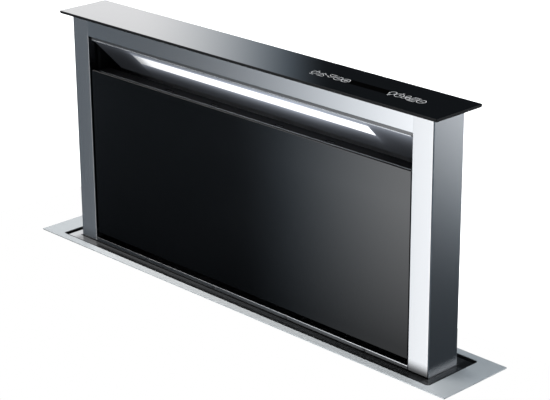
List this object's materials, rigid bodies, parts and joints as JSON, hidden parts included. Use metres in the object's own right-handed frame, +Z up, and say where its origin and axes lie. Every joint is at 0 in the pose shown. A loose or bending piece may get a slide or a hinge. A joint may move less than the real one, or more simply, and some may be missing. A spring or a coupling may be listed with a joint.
{
  "type": "downdraft vent",
  "caption": "Worktop downdraft extractor: a belt-lifted steel tower with a tilting black glass front, lamp and touch lid rises from a flanged slot over a casing with a fan.",
  "frame": {"origin": "middle of the footprint at the height of the levelling feet's undersides", "axes": "+Z up, -Y towards the hob and the person cooking, +X to that person's right"},
  "size_m": [0.883, 0.316, 1.0804],
  "materials": {
    "stainless": "finely brushed stainless steel",
    "zinc_sheet": "galvanised sheet",
    "black_enamel": "satin black",
    "black_glass": "back-painted black glass, polished",
    "black_plastic": "moulded black",
    "grey_plastic": "moulded grey, fine texture",
    "rubber": "matt black",
    "aluminium": "satin",
    "filter_mesh": "layered expanded mesh in a folded frame",
    "lamp_diffuser": "opal, lit",
    "circuit_board": "solder mask",
    "motor_casting": "die cast, matt"
  },
  "bodies": {
    "housing": {"worktop_flange": "stainless", "flange_gasket": "rubber", "recess_tray": "stainless", "wiper_seal": "rubber", "casing_front": "zinc_sheet", "casing_back": "zinc_sheet", "casing_end_left": "zinc_sheet", "casing_end_right": "zinc_sheet", "casing_floor": "zinc_sheet", "guide_rail_left": "aluminium", "guide_rail_right": "aluminium", "lift_motor": "motor_casting", "lift_motor_bracket": "zinc_sheet", "shaft_bearing_left": "motor_casting", "shaft_bearing_right": "motor_casting", "drive_belt_left": "rubber", "drive_belt_right": "rubber", "idler_bracket_left": "zinc_sheet", "idler_bracket_right": "zinc_sheet", "blower_box": "zinc_sheet", "blower_cover": "zinc_sheet", "scroll_housing": "black_plastic", "fan_motor": "motor_casting", "outlet_collar": "zinc_sheet", "control_box": "grey_plastic", "control_box_lid": "grey_plastic", "mains_gland": "black_plastic", "foot_rear_left": "zinc_sheet", "foot_rear_right": "zinc_sheet", "foot_front_left": "zinc_sheet", "foot_front_right": "zinc_sheet"},
    "tower": {"column_left": "stainless", "column_right": "stainless", "header_rail": "stainless", "back_cover": "stainless", "bottom_rail": "stainless", "lift_crossbar": "zinc_sheet", "light_reflector": "stainless", "led_diffuser": "lamp_diffuser", "led_board": "circuit_board", "filter_frame": "black_enamel", "grease_filter_left": "filter_mesh", "grease_filter_right": "filter_mesh", "lid_plate": "black_enamel", "lid_glass": "black_glass", "touch_board": "circuit_board", "carriage_left": "black_plastic", "carriage_right": "black_plastic", "hinge_pin_left": "stainless", "hinge_pin_right": "stainless"},
    "front_panel": {"panel_glass": "black_glass", "panel_carrier": "black_enamel"},
    "cross_shaft": {"drive_shaft": "stainless", "drive_pulley_left": "aluminium", "drive_pulley_right": "aluminium"},
    "left_idler": {"idler_pulley_left": "black_plastic"},
    "right_idler": {"idler_pulley_right": "black_plastic"},
    "fan_wheel": {"impeller": "aluminium"},
    "rear_damper": {"damper_flap_rear": "aluminium"},
    "front_damper": {"damper_flap_front": "aluminium"}
  },
  "joints": [
    {"name": "tower_lift", "type": "slide", "parent": "housing", "child": "tower", "axis": [0, 0, 1], "range_m": [-0.3802, 0]},
    {"name": "front_panel_tilt", "type": "hinge", "parent": "tower", "child": "front_panel", "pos_m": [0, 0.07155, 0.719], "axis": [1, 0, 0], "range_deg": [0, 80]},
    {"name": "cross_shaft_turn", "type": "hinge", "parent": "housing", "child": "cross_shaft", "pos_m": [0, 0.07435, 0.08], "axis": [1, 0, 0], "range_deg": [-1712.9, 1]},
    {"name": "left_idler_turn", "type": "hinge", "parent": "housing", "child": "left_idler", "pos_m": [-0.39, 0.07435, 0.655], "axis": [1, 0, 0], "range_deg": [-1712.9, 1]},
    {"name": "right_idler_turn", "type": "hinge", "parent": "housing", "child": "right_idler", "pos_m": [0.39, 0.07435, 0.655], "axis": [1, 0, 0], "range_deg": [-1712.9, 1]},
    {"name": "fan_spin", "type": "hinge", "parent": "housing", "child": "fan_wheel", "pos_m": [-0.02, -0.03465, 0.23], "axis": [0, 1, 0], "continuous": true},
    {"name": "rear_damper_swing", "type": "hinge", "parent": "housing", "child": "rear_damper", "pos_m": [0.24, -0.04015, 0.312], "axis": [0, 0, -1], "range_deg": [0, 70], "stiffness_Nm_per_rad": 0.01, "springref_deg": -11.46},
    {"name": "front_damper_swing", "type": "hinge", "parent": "housing", "child": "front_damper", "pos_m": [0.24, -0.04015, 0.312], "axis": [0, 0, 1], "range_deg": [0, 70], "stiffness_Nm_per_rad": 0.01, "springref_deg": -11.46}
  ],
  "couplings": [
    {"joint": "cross_shaft_turn", "follows": "tower_lift", "rad_per_m": 78.54},
    {"joint": "left_idler_turn", "follows": "tower_lift", "rad_per_m": 78.54},
    {"joint": "right_idler_turn", "follows": "tower_lift", "rad_per_m": 78.54}
  ]
}
